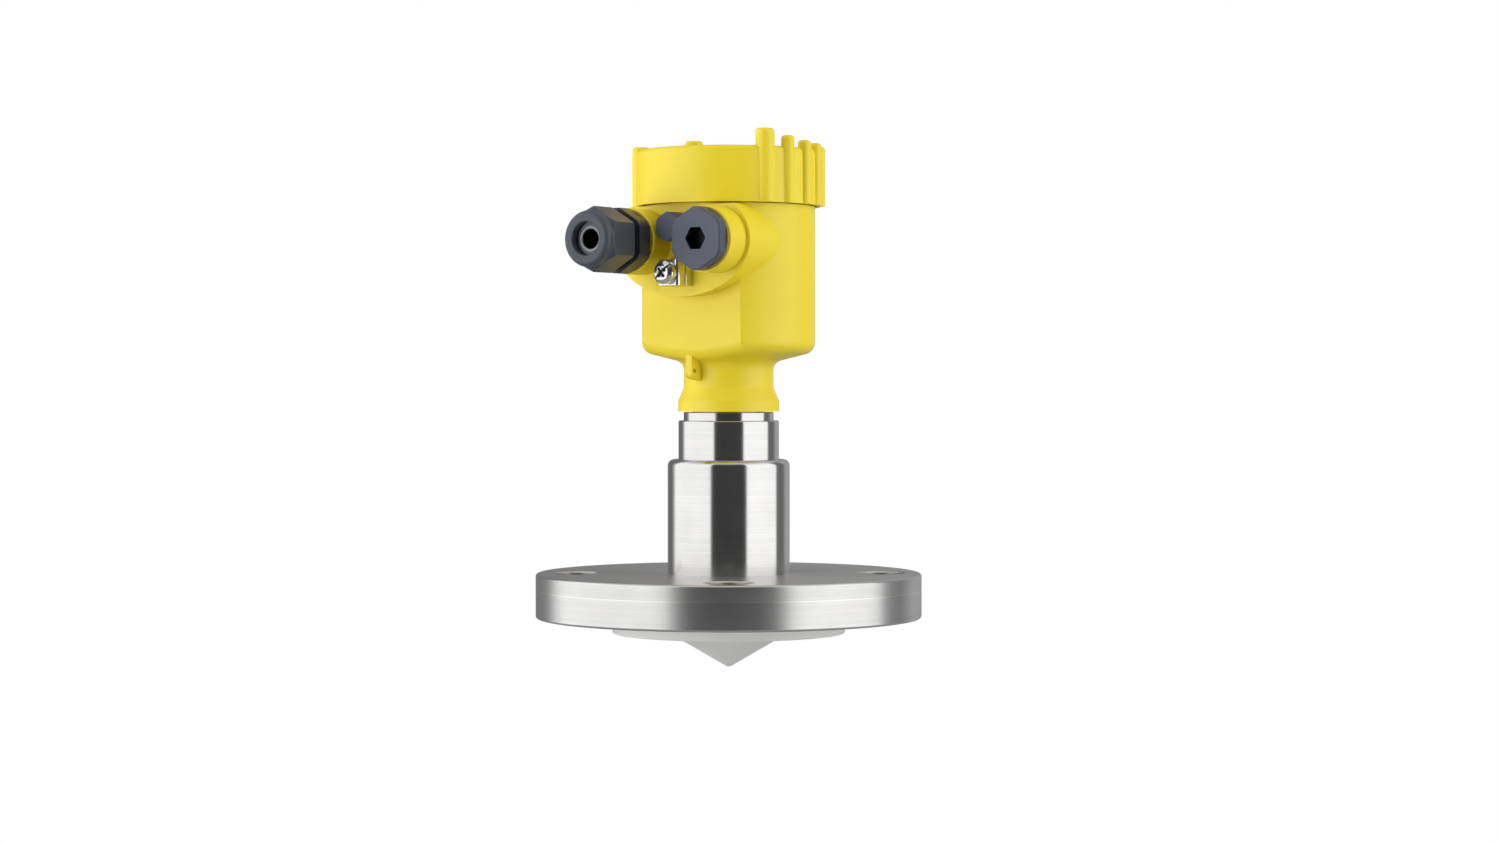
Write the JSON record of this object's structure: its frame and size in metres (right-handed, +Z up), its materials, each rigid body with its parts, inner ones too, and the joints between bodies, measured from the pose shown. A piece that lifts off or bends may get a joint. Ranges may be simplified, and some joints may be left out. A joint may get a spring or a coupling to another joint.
{
  "type": "radar level transmitter",
  "caption": "Radar level sensor: yellow ribbed screw-lid head with cable gland and blind plug, steel neck, bolted process flange and white cone antenna.",
  "frame": {"origin": "centre of the bolt circle on the flange's underside", "axes": "+Z up the neck to the lid; the cable entries point along -Y, the gland at -X and the plug at +X"},
  "size_m": [0.1524, 0.1524, 0.2101],
  "materials": {
    "process_steel": "turned, fine tool marks",
    "antenna_plastic": "turned, smooth",
    "head_plastic": "moulded, satin",
    "plug_plastic": "moulded, satin",
    "gland_plastic": "moulded, satin",
    "grip_rubber": "smooth",
    "black_rubber": "smooth",
    "screw_steel": "bright stainless",
    "brass": "turned",
    "module_plastic": "moulded, fine grain",
    "terminal_plastic": "moulded",
    "board": "solder mask",
    "membrane": "felt-like film"
  },
  "bodies": {
    "process_part": {"flange": "process_steel", "neck_sleeve": "process_steel", "neck_adapter": "process_steel", "antenna_horn": "process_steel", "antenna_lens": "antenna_plastic", "lens_seal": "black_rubber", "waveguide_tube": "brass", "swivel_seals": "black_rubber", "retaining_ring": "screw_steel"},
    "head": {"housing": "head_plastic", "module_cup": "module_plastic", "main_board": "board", "module_cover": "module_plastic", "module_screws": "screw_steel", "waveguide_coupler": "brass", "terminal_block": "terminal_plastic", "terminal_screws": "screw_steel", "plug_gasket": "black_rubber", "gland_gasket": "black_rubber", "blind_plug": "plug_plastic", "gland_body": "gland_plastic", "vent_cap": "plug_plastic", "vent_membrane": "membrane", "ground_bush": "brass"},
    "lid_thread": {"lid_seal": "black_rubber"},
    "lid": {"lid": "head_plastic"},
    "gland_grip": {"gland_seal": "grip_rubber", "gland_cage": "gland_plastic"},
    "gland_nut": {"gland_nut": "gland_plastic"},
    "ground_clamp": {"ground_clamp": "screw_steel", "ground_washer": "screw_steel"},
    "ground_screw": {"ground_screw": "screw_steel"}
  },
  "joints": [
    {"name": "head_swivel", "type": "hinge", "parent": "process_part", "child": "head", "pos_m": [0, 0, 0.0814], "axis": [0, 0, 1], "range_deg": [-165, 165]},
    {"name": "lid_lift", "type": "slide", "parent": "head", "child": "lid_thread", "axis": [0, 0, 1], "range_m": [0, 0.0091]},
    {"name": "lid_turn", "type": "hinge", "parent": "lid_thread", "child": "lid", "pos_m": [0, 0, 0.1622], "axis": [0, 0, 1], "range_deg": [0, 1080]},
    {"name": "gland_travel", "type": "slide", "parent": "head", "child": "gland_grip", "axis": [0, -1, 0], "range_m": [0, 0.0031]},
    {"name": "gland_nut_turn", "type": "hinge", "parent": "gland_grip", "child": "gland_nut", "pos_m": [-0.018, -0.0585, 0.1474], "axis": [0, -1, 0], "range_deg": [0, 720]},
    {"name": "clamp_travel", "type": "slide", "parent": "head", "child": "ground_clamp", "axis": [0, -1, 0], "range_m": [0, 0.0028]},
    {"name": "ground_screw_turn", "type": "hinge", "parent": "ground_clamp", "child": "ground_screw", "pos_m": [0, -0.042, 0.135], "axis": [0, -1, 0], "range_deg": [0, 1450]}
  ],
  "couplings": [
    {"joint": "lid_lift", "follows": "lid_turn", "m_per_rad": 0.00047746},
    {"joint": "gland_travel", "follows": "gland_nut_turn", "m_per_rad": 0.00023873},
    {"joint": "ground_screw_turn", "follows": "clamp_travel", "rad_per_m": 8976}
  ]
}
